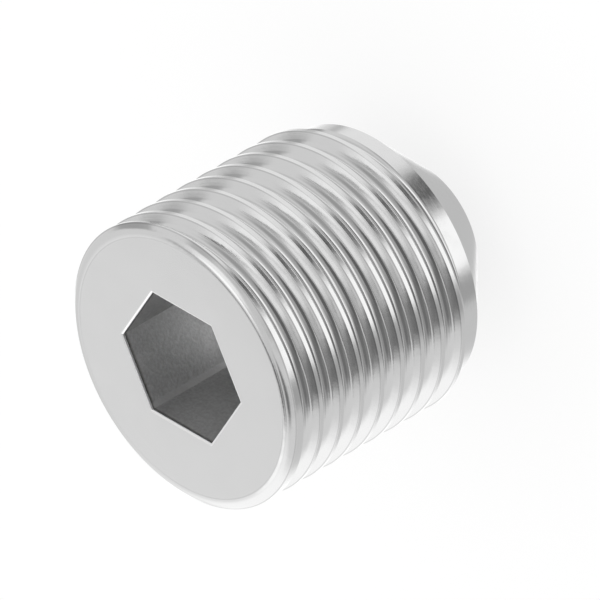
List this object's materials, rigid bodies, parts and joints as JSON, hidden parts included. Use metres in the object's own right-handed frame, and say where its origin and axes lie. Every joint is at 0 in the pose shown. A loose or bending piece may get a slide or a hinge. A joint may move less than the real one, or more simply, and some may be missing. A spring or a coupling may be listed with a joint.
{
  "type": "socket set screw",
  "caption": "Hexagon socket set screw with a flat chamfered point and a full-length external thread, turned from one piece of steel.",
  "frame": {"origin": "centre of the flat point's end face, on which the screw stands", "axes": "+Z along the screw's axis from the flat point to the socket face; two corners of the hexagon lie on the X axis"},
  "size_m": [0.022, 0.022, 0.024],
  "materials": {
    "stainless_steel": "bright turned stainless steel with a fine satin grain, duller inside the socket"
  },
  "bodies": {
    "root": {"set_screw": "stainless_steel"}
  },
  "joints": []
}
